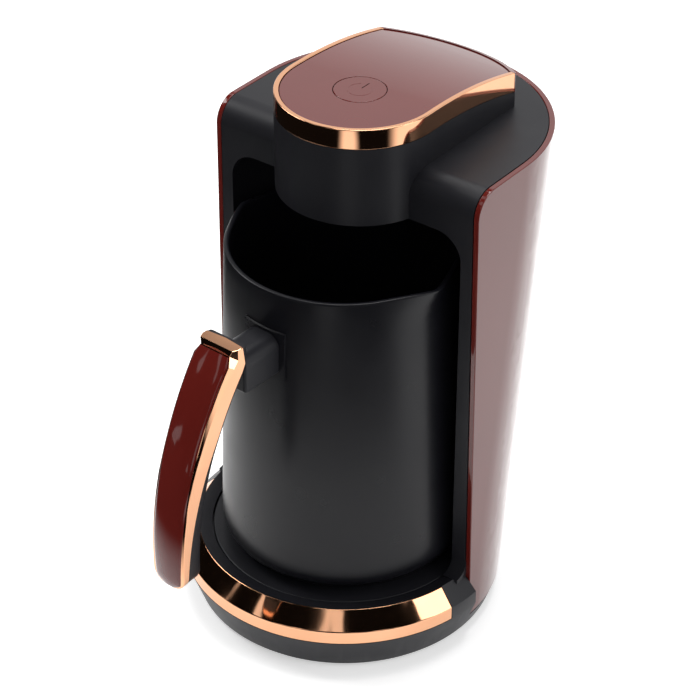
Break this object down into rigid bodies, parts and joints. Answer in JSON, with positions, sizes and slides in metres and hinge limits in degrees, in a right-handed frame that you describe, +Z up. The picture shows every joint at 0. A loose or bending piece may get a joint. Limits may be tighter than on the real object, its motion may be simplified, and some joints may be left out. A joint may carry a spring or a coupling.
{
  "type": "electric turkish coffee maker",
  "caption": "Electric Turkish coffee maker: a lift-off pot with a curved handle stands on a round base in the bay of a leaning column whose head has a push button on its lid.",
  "frame": {"origin": "on the table under the middle of the pot's seat", "axes": "+Z up, the front with the pot's handle is -Y, +X to the viewer's right when facing the front"},
  "size_m": [0.1492, 0.2206, 0.25],
  "materials": {
    "black_plastic": "fine satin texture",
    "burgundy_gloss": "high gloss moulded",
    "rose_gold": "rose gold electroplated",
    "pot_black": "satin",
    "rubber": "matt",
    "steel": "brushed",
    "brass_contact": "plain",
    "circuit_board": "solder mask",
    "component_black": "moulded",
    "component_blue": "moulded",
    "smoked_window": "smoked",
    "lamp_clear": "clear"
  },
  "bodies": {
    "root": {"base_housing": "black_plastic", "base_bottom_plate": "black_plastic", "seat_plate": "black_plastic", "base_plug": "black_plastic", "column_housing": "black_plastic", "cord_inlet": "black_plastic", "rear_panel": "burgundy_gloss", "lid_plate": "burgundy_gloss", "base_gold_trim": "rose_gold", "lid_gold_rim": "rose_gold", "rubber_feet": "rubber", "base_screws": "steel", "plug_contacts": "brass_contact", "control_board": "circuit_board", "sensor_board": "circuit_board", "power_board": "circuit_board", "tact_switch": "component_black", "buzzer": "component_black", "transformer": "component_black", "relay": "component_blue", "sensor_lens": "smoked_window", "indicator_lamp": "lamp_clear"},
    "pot": {"pot_body": "pot_black", "heater_plate": "steel", "heating_element": "steel", "thermostat": "steel", "pot_socket": "black_plastic", "pot_bottom_cover": "black_plastic", "handle_arm": "black_plastic", "handle_core": "black_plastic", "handle_gold_frame": "rose_gold", "handle_inlay": "burgundy_gloss"},
    "button": {"button_cap": "burgundy_gloss", "switch_plunger": "component_black"}
  },
  "joints": [
    {"name": "pot_lift", "type": "slide", "parent": "root", "child": "pot", "axis": [0, 0, 1], "range_m": [0, 0.02]},
    {"name": "button_press", "type": "slide", "parent": "root", "child": "button", "axis": [0, 0, -1], "range_m": [0, 0.0012], "stiffness_N_per_m": 400}
  ]
}
